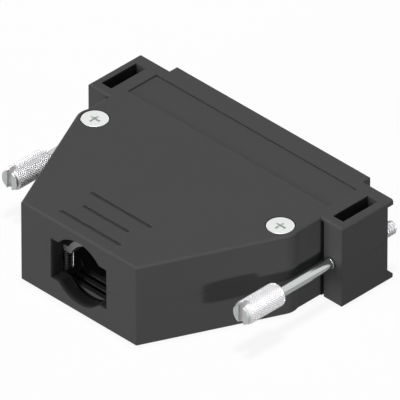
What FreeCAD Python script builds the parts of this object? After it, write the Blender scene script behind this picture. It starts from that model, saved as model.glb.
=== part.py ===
"""Two-part cable hood for a 50-way D-shaped connector, with captive jackscrews and a cable clamp.

Millimetres. The connector flange seats on the plane y = 0, and the plug side is +Y. The cable
leaves at -Y, X runs across the hood and Z up. The two half shells part on the plane z = 0.
"""
import FreeCAD
import Part
import Sketcher
import math
import os
from types import SimpleNamespace

SHEET = "Sizes"

DRIVING_SIZES = {
    # Connector that the hood takes
    "jackscrew_spacing": 61.11,
    "flange_end": 2.895,
    "flange_height": 15.37,
    "flange_thickness": 1.2,
    "flange_clearance": 0.15,
    "connector_body_inset": 2.755,
    "connector_body_clearance": 0.1,
    # Half shells
    "hood_thickness": 17.97,
    "hood_length": 47.86,
    "front_width": 30.3,
    "knob_gap": 0.275,
    "shell_wall": 1.9,
    "side_wall": 2.2,
    "front_wall": 3.09,
    "edge_round": 0.5,
    "ear_depth": 12.13,
    "ear_front_wall": 1.86,
    "ear_back_wall": 1.1,
    "ear_slot_width": 2.63,
    "corner_groove_width": 0.85,
    "corner_groove_depth": 1.0,
    "lip_reach": 1.43,
    "tongue_inset": 2.41,
    "tongue_reach": 3.43,
    # Cable opening in the front wall
    "opening_width": 14.7,
    "opening_height": 8.96,
    "opening_radius": 6.98,
    # Outside of the shells
    "grip_groove_radius": 0.42,
    "grip_groove_pitch": 4.03,
    "grip_front_margin": 3.07,
    "grip_long_reach": 8.2,
    "grip_short_reach": 6.24,
    "label_inset": 1.41,
    "label_margin": 1.0,
    "label_length": 7.66,
    "label_depth": 0.25,
    # Screws that join the shells
    "shell_screw_setback": 19.33,
    "shell_screw_length": 16.0,
    "boss_round": 3.67,
    "boss_proud": 0.25,
    "boss_cover": 0.35,
    "screw_thread_radius": 1.475,
    "screw_hole_clearance": 0.1,
    "screw_head_radius": 2.75,
    "screw_head_rim": 0.25,
    "screw_head_clearance": 0.12,
    "screw_tip_chamfer": 0.3,
    "recess_span": 2.7,
    "recess_width": 0.56,
    "recess_depth": 1.1,
    "nut_flats": 5.5,
    "nut_height": 2.4,
    "nut_clearance": 0.06,
    "nut_sink": 0.9,
    # Captive jackscrews
    "thread_radius": 1.4225,
    "thread_length": 4.1,
    "thread_chamfer": 0.4,
    "jackscrew_reach": 4.39,
    "shank_radius": 1.15,
    "running_clearance": 0.08,
    "knurl_radius": 2.4,
    "knurl_length": 9.16,
    "knurl_chamfer": 0.35,
    "knurl_setback": 26.17,
    "driver_boss_radius": 2.0,
    "driver_boss_length": 0.55,
    "driver_slot_width": 1.15,
    "driver_slot_depth": 2.0,
    "clip_thickness": 0.72,
    "clip_play": 0.04,
    "clip_height": 4.8,
    "clip_groove_radius": 0.8,
    "clip_side_clearance": 0.08,
    "clip_forward_travel": 3.1,
    # Cable clamp
    "clamp_screw_length": 10.0,
    "strap_width": 6.0,
    "strap_gap": 0.3,
    "strap_thickness": 1.2,
    "strap_length": 26.4,
    "strap_screw_inset": 3.35,
    "strap_rise": 0.2,
    "strap_end_round": 1.6,
    "saddle_radius": 5.75,
    "saddle_drop": 1.87,
    "collar_radius": 2.3,
    "collar_height": 0.8,
    "floor_boss_radius": 3.2,
    "floor_boss_height": 0.95,
    "bed_rib_height": 0.9,
    "bed_rib_thickness": 1.0,
    "bed_rib_pitch": 1.9,
    "bed_rib_gap": 0.35,
}


class Size:
    """A size with its number and the expression that ties it to the driving sizes."""

    def __init__(self, value, text):
        self.value = value
        self.text = text

    @classmethod
    def of(cls, item):
        """Gives a Size for a Size or a plain number."""
        return item if isinstance(item, Size) else cls(float(item), repr(float(item)))

    def __add__(self, other):
        other = Size.of(other)
        return Size(self.value + other.value, f"({self.text} + {other.text})")

    def __sub__(self, other):
        other = Size.of(other)
        return Size(self.value - other.value, f"({self.text} - {other.text})")

    def __mul__(self, other):
        other = Size.of(other)
        return Size(self.value * other.value, f"({self.text} * {other.text})")

    def __truediv__(self, other):
        other = Size.of(other)
        return Size(self.value / other.value, f"({self.text} / {other.text})")

    def __neg__(self):
        return Size(-self.value, f"(0 - {self.text})")

    def root(self):
        """Gives the square root."""
        return Size(math.sqrt(self.value), f"sqrt({self.text})")

    __radd__ = __add__
    __rmul__ = __mul__


NOTHING = Size.of(0)
OVERRUN = Size.of(1)
NEAR = 0.01
FULL_TURN = 360
HALF_TURN = 180
BED_RIBS = 3

dim = SimpleNamespace(**{
    name: Size(value, f"{SHEET}.{name}") for name, value in DRIVING_SIZES.items()
})

# Sizes that follow from the driving ones
half_height = dim.hood_thickness / 2
inner_height = half_height - dim.shell_wall
front_y = -dim.hood_length
inner_front_y = front_y + dim.front_wall
jackscrew_x = dim.jackscrew_spacing / 2
ear_half = jackscrew_x + dim.flange_end
body_half = jackscrew_x - dim.knurl_radius - dim.knob_gap
front_half = dim.front_width / 2
tongue_half = body_half - dim.tongue_inset
seat_half = jackscrew_x - dim.connector_body_inset + dim.connector_body_clearance
seat_pocket_depth = dim.ear_depth - dim.ear_front_wall
flange_gap = dim.flange_thickness + dim.flange_clearance
flange_recess_half = dim.flange_height / 2 + dim.flange_clearance
shell_screw_x = body_half + dim.boss_proud - dim.boss_round
shell_screw_y = -dim.shell_screw_setback
screw_hole_radius = dim.screw_thread_radius + dim.screw_hole_clearance
countersink_radius = dim.screw_head_radius + dim.screw_head_clearance
nut_outer_height = half_height - dim.nut_sink
strap_front_y = inner_front_y + dim.strap_gap
clamp_y = strap_front_y + dim.strap_width / 2
clamp_screw_x = dim.strap_length / 2 - dim.strap_screw_inset
clip_front_y = -(dim.ear_back_wall + dim.clip_forward_travel)
clip_back_y = clip_front_y - dim.clip_thickness


def side_slope():
    """Gives how far the leaning sides spread in X for each millimetre along Y.

    Each side runs from the front corner and touches the round boss of a shell screw.
    """
    across = shell_screw_x - front_half
    along = shell_screw_y - front_y
    touch = (across * across + along * along - dim.boss_round * dim.boss_round).root()
    return (across * touch + dim.boss_round * along) / (along * touch - across * dim.boss_round)


def make_sheet(document):
    """Writes the driving sizes into the spreadsheet, one alias each."""
    sheet = document.addObject("Spreadsheet::Sheet", SHEET)
    for row, (name, value) in enumerate(DRIVING_SIZES.items(), start=1):
        sheet.set(f"A{row}", name)
        sheet.set(f"B{row}", str(value))
        sheet.setAlias(f"B{row}", name)
    document.recompute()


def new_body(document, label, x=NOTHING, y=NOTHING, z=NOTHING, axis=None, turn=0):
    """Starts a sub-part whose place follows the sizes."""
    body = document.addObject("PartDesign::Body", label)
    body.Label = label
    rotation = FreeCAD.Rotation(FreeCAD.Vector(*(axis or (0, 0, 1))), turn)
    place = FreeCAD.Vector(x.value, y.value, z.value)
    body.Placement = FreeCAD.Placement(place, rotation)
    for letter, size in (("x", x), ("y", y), ("z", z)):
        body.setExpression(f"Placement.Base.{letter}", size.text)
    return body


def sketch_on(body, plane, name, x=NOTHING, y=NOTHING, z=NOTHING):
    """Lays an empty sketch on one of the body's own planes, shifted in the plane's directions."""
    sketch = body.newObject("Sketcher::SketchObject", name)
    support = next(item for item in body.Origin.OriginFeatures if item.Role == plane)
    sketch.AttachmentSupport = [(support, "")]
    sketch.MapMode = "FlatFace"
    place = FreeCAD.Vector(x.value, y.value, z.value)
    sketch.AttachmentOffset = FreeCAD.Placement(place, FreeCAD.Rotation())
    for letter, size in (("x", x), ("y", y), ("z", z)):
        sketch.setExpression(f"AttachmentOffset.Base.{letter}", size.text)
    return sketch


def point(x, y):
    """Gives a sketch point from two sizes."""
    return FreeCAD.Vector(Size.of(x).value, Size.of(y).value, 0)


def measure(sketch, kind, geometry, position, size):
    """Ties one coordinate of a sketch point to a size."""
    size = Size.of(size)
    if size.value == 0:
        axis = -2 if kind == "DistanceX" else -1
        sketch.addConstraint(Sketcher.Constraint("PointOnObject", geometry, position, axis))
        return
    ends = (-1, 1, geometry, position)
    if size.value < 0:
        ends = (geometry, position, -1, 1)
        size = -size
    number = sketch.addConstraint(Sketcher.Constraint(kind, *ends, size.value))
    sketch.setExpression(f"Constraints[{number}]", size.text)


def pin(sketch, geometry, position, x, y):
    """Ties both coordinates of a sketch point to sizes."""
    measure(sketch, "DistanceX", geometry, position, x)
    measure(sketch, "DistanceY", geometry, position, y)


def join(sketch, first, first_end, second, second_end):
    """Makes two ends meet."""
    sketch.addConstraint(Sketcher.Constraint("Coincident", first, first_end, second, second_end))


def set_radius(sketch, geometry, size):
    """Ties the radius of an arc or circle to a size."""
    number = sketch.addConstraint(Sketcher.Constraint("Radius", geometry, size.value))
    sketch.setExpression(f"Constraints[{number}]", size.text)


def add_line(sketch, start, end):
    """Adds a straight line between two pairs of sizes."""
    return sketch.addGeometry(Part.LineSegment(point(*start), point(*end)))


def add_polygon(sketch, corners):
    """Adds a closed outline of straight lines, each corner tied to its sizes."""
    count = len(corners)
    lines = [add_line(sketch, corners[k], corners[(k + 1) % count]) for k in range(count)]
    for k, line in enumerate(lines):
        join(sketch, line, 2, lines[(k + 1) % count], 1)
        pin(sketch, line, 1, *corners[k])


def add_rectangle(sketch, left, right, low, high):
    """Adds a rectangle between two sizes across and two along."""
    add_polygon(sketch, [(left, low), (right, low), (right, high), (left, high)])


def add_circle(sketch, x, y, radius):
    """Adds a circle with its centre and radius tied to sizes."""
    circle = sketch.addGeometry(Part.Circle(point(x, y), FreeCAD.Vector(0, 0, 1), radius.value))
    pin(sketch, circle, 3, x, y)
    set_radius(sketch, circle, radius)


def add_arc(sketch, centre, radius, start, end):
    """Adds an arc that turns anticlockwise from start to end, both angles in radians."""
    circle = Part.Circle(point(*centre), FreeCAD.Vector(0, 0, 1), radius.value)
    arc = sketch.addGeometry(Part.ArcOfCircle(circle, start, end))
    pin(sketch, arc, 3, *centre)
    return arc


def add_hexagon(sketch, x, y, flats):
    """Adds a hexagon given its width across flats, with two flats facing the X direction."""
    side = flats / 2
    rise = flats / math.sqrt(12)
    corners = [(side, -rise), (side, rise), (NOTHING, rise * 2)]
    corners += [(-across, -along) for across, along in corners]
    add_polygon(sketch, [(x + across, y + along) for across, along in corners])


def extrude(body, kind, sketch, name, length, reverse=False):
    """Adds a pad or a pocket of one length."""
    feature = body.newObject(f"PartDesign::{kind}", name)
    feature.Profile = sketch
    feature.Length = length.value
    feature.setExpression("Length", length.text)
    feature.Reversed = reverse
    return feature


def turn(body, kind, sketch, name, axis):
    """Adds a full revolution or groove round an axis of its sketch."""
    feature = body.newObject(f"PartDesign::{kind}", name)
    feature.Profile = sketch
    feature.ReferenceAxis = (sketch, [axis])
    feature.Angle = FULL_TURN
    return feature


def round_edges(body, base, edges, name, radius):
    """Rounds the named edges of a feature."""
    feature = body.newObject("PartDesign::Fillet", name)
    feature.Base = (base, edges)
    feature.Radius = radius.value
    feature.setExpression("Radius", radius.text)
    return feature


def draw_shell_plan(sketch):
    """Draws the plan of a half shell: cable end, leaning sides, screw bosses, ears and tongue."""
    front = add_line(sketch, (-front_half, front_y), (front_half, front_y))
    back = add_line(sketch, (tongue_half, dim.tongue_reach), (-tongue_half, dim.tongue_reach))
    lean = math.atan(side_slope().value)
    foot = math.acos((body_half.value - shell_screw_x.value) / dim.boss_round.value)
    touch_x = shell_screw_x.value + dim.boss_round.value * math.cos(lean)
    touch_y = shell_screw_y.value - dim.boss_round.value * math.sin(lean)
    foot_y = shell_screw_y.value + dim.boss_round.value * math.sin(foot)
    for side in (1, -1):
        corners = [
            (body_half * side, Size.of(foot_y)),
            (body_half * side, -dim.ear_depth),
            (ear_half * side, -dim.ear_depth),
            (ear_half * side, dim.lip_reach),
            (tongue_half * side, dim.lip_reach),
            (tongue_half * side, dim.tongue_reach),
        ]
        leaning = add_line(sketch, (front_half * side, front_y), (side * touch_x, touch_y))
        centre = (shell_screw_x * side, shell_screw_y)
        start, end = (-lean, foot) if side > 0 else (math.pi - foot, math.pi + lean)
        boss = add_arc(sketch, centre, dim.boss_round, start, end)
        set_radius(sketch, boss, dim.boss_round)
        entry, leave = (1, 2) if side > 0 else (2, 1)
        walls = [add_line(sketch, corners[k], corners[k + 1]) for k in range(len(corners) - 1)]
        pin(sketch, leaning, 1, front_half * side, front_y)
        sketch.addConstraint(Sketcher.Constraint("Tangent", leaning, 2, boss, entry))
        join(sketch, boss, leave, walls[0], 1)
        measure(sketch, "DistanceX", walls[0], 1, corners[0][0])
        for k, wall in enumerate(walls):
            pin(sketch, wall, 2, *corners[k + 1])
            if k:
                join(sketch, walls[k - 1], 2, wall, 1)
        join(sketch, front, 2 if side > 0 else 1, leaning, 1)
        join(sketch, walls[-1], 2, back, 1 if side > 0 else 2)


def draw_cavity_plan(sketch):
    """Draws the plan of the hollow, which widens behind the seat for the connector's body."""
    slope = side_slope()
    lean_wall = dim.side_wall * (slope * slope + 1).root()
    inner_half = body_half - dim.side_wall
    front_inner_half = front_half + slope * dim.front_wall - lean_wall
    bend_y = front_y + (inner_half - front_half + lean_wall) / slope
    right = [
        (front_inner_half, inner_front_y),
        (inner_half, bend_y),
        (inner_half, -seat_pocket_depth),
        (seat_half, -seat_pocket_depth),
        (seat_half, dim.tongue_reach + OVERRUN),
    ]
    add_polygon(sketch, right + [(-x, y) for x, y in reversed(right)])


def drill(body, name, x, y, profile):
    """Cuts a round stepped hole along Z, given its half profile from the axis outwards."""
    sketch = sketch_on(body, "XZ_Plane", f"{name}_profile", x=x, z=-y)
    add_polygon(sketch, profile)
    turn(body, "Groove", sketch, name, "V_Axis")


def countersunk_profile(low, high):
    """Gives the half profile of a countersunk hole from one height up to an outer face."""
    rim = high - dim.screw_head_rim
    shoulder = rim - (countersink_radius - screw_hole_radius)
    return [
        (NOTHING, low),
        (screw_hole_radius, low),
        (screw_hole_radius, shoulder),
        (countersink_radius, rim),
        (countersink_radius, high + OVERRUN),
        (NOTHING, high + OVERRUN),
    ]


def cut_grip_groove(body, name, y, reach):
    """Cuts one round-bottomed grip groove across the outer face, with tapered ends."""
    radius = dim.grip_groove_radius
    straight = reach - radius
    sketch = sketch_on(body, "XY_Plane", f"{name}_profile", y=y, z=half_height)
    add_polygon(sketch, [
        (-reach, NOTHING), (reach, NOTHING), (straight, radius), (-straight, radius)])
    turn(body, "Groove", sketch, name, "H_Axis")


def make_half_shell(document, label, turn_over):
    """Makes what both half shells share. Its outer face looks up before it is turned over."""
    body = new_body(document, label, axis=(0, 1, 0), turn=turn_over)
    plan = sketch_on(body, "XY_Plane", f"{label}_plan")
    draw_shell_plan(plan)
    block = extrude(body, "Pad", plan, f"{label}_block", half_height)
    document.recompute()

    rim = []
    for number, edge in enumerate(block.Shape.Edges, start=1):
        box = edge.BoundBox
        on_top = box.ZMin > half_height.value - NEAR
        if on_top and (box.YMin + box.YMax) / 2 < 0:
            rim.append(f"Edge{number}")
    round_edges(body, block, rim, f"{label}_rim_round", dim.edge_round)

    cavity = sketch_on(body, "XY_Plane", f"{label}_cavity_plan")
    draw_cavity_plan(cavity)
    extrude(body, "Pocket", cavity, f"{label}_cavity", inner_height, reverse=True)

    bosses = sketch_on(body, "XY_Plane", f"{label}_boss_plan")
    for side in (1, -1):
        add_circle(bosses, shell_screw_x * side, shell_screw_y, dim.boss_round - dim.boss_cover)
    extrude(body, "Pad", bosses, f"{label}_bosses", inner_height)

    flange = sketch_on(body, "XY_Plane", f"{label}_flange_plan")
    outside = ear_half + OVERRUN
    beyond = dim.lip_reach + OVERRUN
    add_polygon(flange, [
        (-outside, NOTHING),
        (outside, NOTHING),
        (outside, beyond),
        (tongue_half, beyond),
        (tongue_half, flange_gap),
        (-tongue_half, flange_gap),
        (-tongue_half, beyond),
        (-outside, beyond),
    ])
    extrude(body, "Pocket", flange, f"{label}_flange_recess", flange_recess_half, reverse=True)

    slots = sketch_on(body, "XY_Plane", f"{label}_slot_plan")
    slot_half = dim.ear_slot_width / 2
    for side in (1, -1):
        centre = jackscrew_x * side
        add_rectangle(slots, centre - slot_half, centre + slot_half, -seat_pocket_depth, -dim.ear_back_wall)
    extrude(body, "Pocket", slots, f"{label}_ear_slots", half_height + OVERRUN, reverse=True)

    relief = sketch_on(body, "XY_Plane", f"{label}_corner_plan")
    for side in (1, -1):
        wall, groove = body_half * side, (body_half + dim.corner_groove_width) * side
        bottom = -dim.ear_depth + dim.corner_groove_depth
        add_rectangle(relief, wall, groove, -dim.ear_depth - OVERRUN, bottom)
    extrude(body, "Pocket", relief, f"{label}_corner_grooves", half_height + OVERRUN, reverse=True)

    channels = {
        "shank_holes": (dim.shank_radius, dim.ear_depth + OVERRUN, dim.ear_depth + OVERRUN),
        "thread_bores": (dim.thread_radius, seat_pocket_depth, seat_pocket_depth + OVERRUN),
    }
    for name, (radius, start, length) in channels.items():
        sketch = sketch_on(body, "XZ_Plane", f"{label}_{name}_plan", z=start)
        for side in (1, -1):
            add_circle(sketch, jackscrew_x * side, NOTHING, radius + dim.running_clearance)
        extrude(body, "Pocket", sketch, f"{label}_{name}", length)

    across, up = dim.opening_width / 2, dim.opening_height / 2
    window = sketch_on(body, "XZ_Plane", f"{label}_window_plan", z=dim.hood_length)
    add_rectangle(window, -across, across, -up, up)
    extrude(body, "Pocket", window, f"{label}_window", dim.front_wall)
    cable_hole = sketch_on(body, "XZ_Plane", f"{label}_cable_hole_plan", z=dim.hood_length)
    add_circle(cable_hole, NOTHING, NOTHING, dim.opening_radius)
    extrude(body, "Pocket", cable_hole, f"{label}_cable_hole", dim.front_wall)

    reaches = (dim.grip_long_reach, dim.grip_short_reach, dim.grip_long_reach)
    for k, reach in enumerate(reaches):
        y = front_y + dim.grip_front_margin + dim.grip_groove_pitch * k
        cut_grip_groove(body, f"{label}_grip_groove_{k + 1}", y, reach)
    return body


def make_upper_shell(document):
    """Makes the upper shell, with the countersunk screw holes and the label field."""
    body = make_half_shell(document, "upper_shell", 0)
    label = sketch_on(body, "XY_Plane", "label_plan", z=half_height)
    field_back = -dim.label_margin
    half = body_half - dim.label_inset
    add_rectangle(label, -half, half, field_back - dim.label_length, field_back)
    extrude(body, "Pocket", label, "label_field", dim.label_depth)
    for side, name in ((1, "right"), (-1, "left")):
        profile = countersunk_profile(-OVERRUN, half_height)
        drill(body, f"screw_hole_{name}", shell_screw_x * side, shell_screw_y, profile)
    return body


def make_lower_shell(document):
    """Makes the lower shell, with nut pockets, clamp screw holes and the ribbed cable bed."""
    body = make_half_shell(document, "lower_shell", HALF_TURN)
    inner_face = inner_height - dim.floor_boss_height

    floor_bosses = sketch_on(body, "XY_Plane", "floor_boss_plan", z=inner_face)
    for side in (1, -1):
        add_circle(floor_bosses, clamp_screw_x * side, clamp_y, dim.floor_boss_radius)
    extrude(body, "Pad", floor_bosses, "floor_bosses", dim.floor_boss_height)

    rib_half = clamp_screw_x - dim.floor_boss_radius / 2
    for k in range(BED_RIBS):
        start = strap_front_y + dim.bed_rib_gap + dim.bed_rib_pitch * k
        rib = sketch_on(body, "XY_Plane", f"bed_rib_{k + 1}_plan", z=inner_height - dim.bed_rib_height)
        add_rectangle(rib, -rib_half, rib_half, start, start + dim.bed_rib_thickness)
        extrude(body, "Pad", rib, f"bed_rib_{k + 1}", dim.bed_rib_height)

    pockets = sketch_on(body, "XY_Plane", "nut_pocket_plan", z=half_height)
    for side in (1, -1):
        add_hexagon(pockets, shell_screw_x * side, shell_screw_y, dim.nut_flats + dim.nut_clearance * 2)
    extrude(body, "Pocket", pockets, "nut_pockets", dim.nut_sink + dim.nut_height)

    for side, name in ((1, "right"), (-1, "left")):
        profile = [
            (NOTHING, -OVERRUN),
            (screw_hole_radius, -OVERRUN),
            (screw_hole_radius, nut_outer_height),
            (NOTHING, nut_outer_height),
        ]
        drill(body, f"screw_hole_{name}", shell_screw_x * side, shell_screw_y, profile)
        profile = countersunk_profile(inner_face - OVERRUN, half_height)
        drill(body, f"clamp_screw_hole_{name}", clamp_screw_x * side, clamp_y, profile)
    return body


def make_countersunk_screw(document, label, length, x, y, z, turn_over):
    """Makes a countersunk screw with a cross recess, its head at its own origin."""
    body = new_body(document, label, x, y, z, axis=(1, 0, 0), turn=turn_over)
    rim = -dim.screw_head_rim
    shoulder = rim - (dim.screw_head_radius - dim.screw_thread_radius)
    profile = sketch_on(body, "XZ_Plane", f"{label}_profile")
    add_polygon(profile, [
        (NOTHING, NOTHING),
        (dim.screw_head_radius, NOTHING),
        (dim.screw_head_radius, rim),
        (dim.screw_thread_radius, shoulder),
        (dim.screw_thread_radius, -length + dim.screw_tip_chamfer),
        (dim.screw_thread_radius - dim.screw_tip_chamfer, -length),
        (NOTHING, -length),
    ])
    turn(body, "Revolution", profile, f"{label}_turned", "V_Axis")
    arm = dim.recess_span / 2
    half = dim.recess_width / 2
    cross = sketch_on(body, "XY_Plane", f"{label}_cross")
    quarter = [(arm, -half), (arm, half), (half, half)]
    corners = []
    for _ in range(4):
        corners.extend(quarter)
        quarter = [(-y, x) for x, y in quarter]
    add_polygon(cross, corners)
    extrude(body, "Pocket", cross, f"{label}_recess", dim.recess_depth)
    return body


def make_shell_nut(document, label, side):
    """Makes a hexagon nut, seated on the ceiling of its pocket in the lower shell."""
    body = new_body(document, label, shell_screw_x * side, shell_screw_y, -nut_outer_height)
    plan = sketch_on(body, "XY_Plane", f"{label}_plan")
    add_hexagon(plan, NOTHING, NOTHING, dim.nut_flats)
    add_circle(plan, NOTHING, NOTHING, dim.screw_thread_radius + dim.nut_clearance)
    extrude(body, "Pad", plan, f"{label}_block", dim.nut_height)
    return body


def make_jackscrew(document, label, side):
    """Makes a captive jackscrew: slotted thumb head, thin shank, clip groove and threaded tip."""
    body = new_body(document, label, jackscrew_x * side)
    head_front = -dim.knurl_setback
    head_back = head_front - dim.knurl_length
    head_end = head_back - dim.driver_boss_length
    chamfered = dim.knurl_radius - dim.knurl_chamfer
    thread_start = dim.jackscrew_reach - dim.thread_length
    profile = sketch_on(body, "XY_Plane", f"{label}_profile")
    add_polygon(profile, [
        (NOTHING, head_end),
        (dim.driver_boss_radius, head_end),
        (dim.driver_boss_radius, head_back),
        (chamfered, head_back),
        (dim.knurl_radius, head_back + dim.knurl_chamfer),
        (dim.knurl_radius, head_front - dim.knurl_chamfer),
        (chamfered, head_front),
        (dim.shank_radius, head_front),
        (dim.shank_radius, clip_back_y - dim.clip_play),
        (dim.clip_groove_radius, clip_back_y - dim.clip_play),
        (dim.clip_groove_radius, clip_front_y + dim.clip_play),
        (dim.shank_radius, clip_front_y + dim.clip_play),
        (dim.shank_radius, thread_start - (dim.thread_radius - dim.shank_radius)),
        (dim.thread_radius, thread_start),
        (dim.thread_radius, dim.jackscrew_reach - dim.thread_chamfer),
        (dim.thread_radius - dim.thread_chamfer, dim.jackscrew_reach),
        (NOTHING, dim.jackscrew_reach),
    ])
    turn(body, "Revolution", profile, f"{label}_turned", "V_Axis")
    slot = sketch_on(body, "XZ_Plane", f"{label}_slot_plan", z=-head_end)
    across = dim.driver_slot_width / 2
    along = dim.knurl_radius + OVERRUN
    add_rectangle(slot, -across, across, -along, along)
    extrude(body, "Pocket", slot, f"{label}_driver_slot", dim.driver_slot_depth)
    return body


def make_retaining_clip(document, label, side):
    """Makes the fork-shaped clip that rides in the ear's slot and holds the jackscrew."""
    body = new_body(document, label, jackscrew_x * side)
    outer = dim.ear_slot_width / 2 - dim.clip_side_clearance
    inner = dim.clip_groove_radius + dim.clip_play
    top = dim.clip_height / 2
    sketch = sketch_on(body, "XZ_Plane", f"{label}_plan", z=-clip_front_y)
    corners = [(-inner, NOTHING), (-inner, -top), (-outer, -top), (-outer, top)]
    corners += [(outer, top), (outer, -top), (inner, -top), (inner, NOTHING)]
    lines = [add_line(sketch, corners[k], corners[k + 1]) for k in range(7)]
    for first, second, corner in zip(lines, lines[1:], corners[1:]):
        join(sketch, first, 2, second, 1)
        pin(sketch, second, 1, *corner)
    crotch = add_arc(sketch, (NOTHING, NOTHING), inner, 0, math.pi)
    set_radius(sketch, crotch, inner)
    measure(sketch, "DistanceY", crotch, 1, NOTHING)
    measure(sketch, "DistanceY", crotch, 2, NOTHING)
    join(sketch, crotch, 1, lines[-1], 2)
    join(sketch, crotch, 2, lines[0], 1)
    extrude(body, "Pad", sketch, f"{label}_plate", dim.clip_thickness)
    return body


def make_clamp_strap(document):
    """Makes the arched steel strap that presses the cable on its bed."""
    body = new_body(document, "clamp_strap", y=clamp_y)
    half = dim.strap_length / 2
    low = dim.strap_rise
    high = low + dim.strap_thickness
    centre = (NOTHING, -dim.saddle_drop)
    outer_radius = dim.saddle_radius + dim.strap_thickness
    profile = sketch_on(body, "XZ_Plane", "strap_profile", z=-dim.strap_width / 2)
    arcs = []
    for radius, height in ((dim.saddle_radius, low), (outer_radius, high)):
        start = math.asin((height.value + dim.saddle_drop.value) / radius.value)
        arc = add_arc(profile, centre, radius, start, math.pi - start)
        set_radius(profile, arc, radius)
        measure(profile, "DistanceY", arc, 1, height)
        measure(profile, "DistanceY", arc, 2, height)
        arcs.append((arc, radius.value * math.cos(start)))
    for side, end in ((1, 1), (-1, 2)):
        (inner, inner_x), (outer, outer_x) = arcs
        bottom = add_line(profile, (side * inner_x, low), (half * side, low))
        tip = add_line(profile, (half * side, low), (half * side, high))
        top = add_line(profile, (half * side, high), (side * outer_x, high))
        join(profile, inner, end, bottom, 1)
        join(profile, bottom, 2, tip, 1)
        join(profile, tip, 2, top, 1)
        join(profile, top, 2, outer, end)
        pin(profile, tip, 1, half * side, low)
        pin(profile, tip, 2, half * side, high)
    strip = extrude(body, "Pad", profile, "strap_strip", dim.strap_width)
    document.recompute()

    corners = []
    for number, edge in enumerate(strip.Shape.Edges, start=1):
        box = edge.BoundBox
        at_tip = min(abs(box.XMin), abs(box.XMax)) > half.value - NEAR
        if at_tip and box.ZLength > dim.strap_thickness.value / 2:
            corners.append(f"Edge{number}")
    round_edges(body, strip, corners, "strap_ends", dim.strap_end_round)

    collars = sketch_on(body, "XY_Plane", "collar_plan", z=low - dim.collar_height)
    holes = sketch_on(body, "XY_Plane", "strap_hole_plan", z=low - dim.collar_height)
    for side in (1, -1):
        add_circle(collars, clamp_screw_x * side, NOTHING, dim.collar_radius)
        add_circle(holes, clamp_screw_x * side, NOTHING, dim.screw_thread_radius + dim.nut_clearance)
    extrude(body, "Pad", collars, "tapped_collars", dim.collar_height)
    depth = dim.collar_height + dim.strap_thickness + OVERRUN
    extrude(body, "Pocket", holes, "tapped_holes", depth, reverse=True)
    return body


def build(document):
    """Builds every sub-part and gives them in a list."""
    make_sheet(document)
    parts = [make_upper_shell(document), make_lower_shell(document), make_clamp_strap(document)]
    for side, name in ((-1, "left"), (1, "right")):
        parts.append(make_countersunk_screw(
            document, f"shell_screw_{name}", dim.shell_screw_length,
            shell_screw_x * side, shell_screw_y, half_height, 0))
        parts.append(make_shell_nut(document, f"shell_nut_{name}", side))
        parts.append(make_jackscrew(document, f"jackscrew_{name}", side))
        parts.append(make_retaining_clip(document, f"retaining_clip_{name}", side))
        parts.append(make_countersunk_screw(
            document, f"clamp_screw_{name}", dim.clamp_screw_length,
            clamp_screw_x * side, clamp_y, -half_height, HALF_TURN))
    document.recompute()
    return parts


def check(document, parts):
    """Stops the build if any object failed or any sub-part isn't one valid solid."""
    for item in document.Objects:
        if "Invalid" in item.State or "Error" in item.State:
            raise RuntimeError(f"{item.Name} failed: {item.State}")
    for part in parts:
        shape = part.Shape
        if shape.isNull() or not shape.isValid() or len(shape.Solids) != 1:
            raise RuntimeError(f"{part.Label} isn't one valid solid")


def main():
    """Builds the hood and writes one file for each sub-part."""
    document = FreeCAD.newDocument("hood")
    parts = build(document)
    check(document, parts)
    os.makedirs("parts", exist_ok=True)
    for part in parts:
        part.Shape.exportStep(f"parts/{part.Label}.step")
        box = part.Shape.BoundBox
        print(f"{part.Label}: {part.Shape.Volume:.1f} mm3, X {box.XMin:.2f} to {box.XMax:.2f}, "
              f"Y {box.YMin:.2f} to {box.YMax:.2f}, Z {box.ZMin:.2f} to {box.ZMax:.2f}")


main()
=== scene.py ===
"""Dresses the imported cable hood: moulded plastic shells, plated screws, knurled captive jackscrews."""

import logging
import math
from collections.abc import Sequence
from dataclasses import dataclass
from enum import Enum
from typing import ClassVar

import bmesh
import bpy
from mathutils import Matrix, Vector


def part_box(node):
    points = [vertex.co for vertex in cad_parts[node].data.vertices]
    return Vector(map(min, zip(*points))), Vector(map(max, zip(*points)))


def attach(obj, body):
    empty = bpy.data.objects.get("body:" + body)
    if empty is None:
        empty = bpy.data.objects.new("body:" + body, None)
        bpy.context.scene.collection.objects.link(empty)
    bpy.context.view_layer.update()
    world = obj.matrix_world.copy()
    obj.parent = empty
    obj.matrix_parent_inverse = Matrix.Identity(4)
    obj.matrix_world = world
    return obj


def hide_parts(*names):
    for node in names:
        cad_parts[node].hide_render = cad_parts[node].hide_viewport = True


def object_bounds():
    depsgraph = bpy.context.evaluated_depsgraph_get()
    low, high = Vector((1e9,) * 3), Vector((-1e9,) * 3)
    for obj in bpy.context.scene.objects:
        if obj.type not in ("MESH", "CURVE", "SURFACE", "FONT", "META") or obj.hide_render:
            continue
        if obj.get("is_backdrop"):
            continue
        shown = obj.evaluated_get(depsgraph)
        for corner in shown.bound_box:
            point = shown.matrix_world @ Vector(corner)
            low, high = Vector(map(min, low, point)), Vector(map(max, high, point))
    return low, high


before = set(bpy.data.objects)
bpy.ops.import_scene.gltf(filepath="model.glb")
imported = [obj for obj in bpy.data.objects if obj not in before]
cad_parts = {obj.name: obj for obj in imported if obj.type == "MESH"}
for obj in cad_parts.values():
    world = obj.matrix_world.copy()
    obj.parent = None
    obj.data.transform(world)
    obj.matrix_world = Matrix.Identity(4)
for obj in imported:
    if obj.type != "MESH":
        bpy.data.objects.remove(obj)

MM = 0.001
FULL_TURN = 2 * math.pi
SHARP_ANGLE = math.radians(32)
WELD = 1e-7  # Points nearer than this, in metres, are one.
THREAD_DEPTH = 0.6134  # The depth of a 60 degree thread for each metre of its pitch.
SHADER_RAYS = 6  # How many rays the shader sends to find edges and corners.
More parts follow.
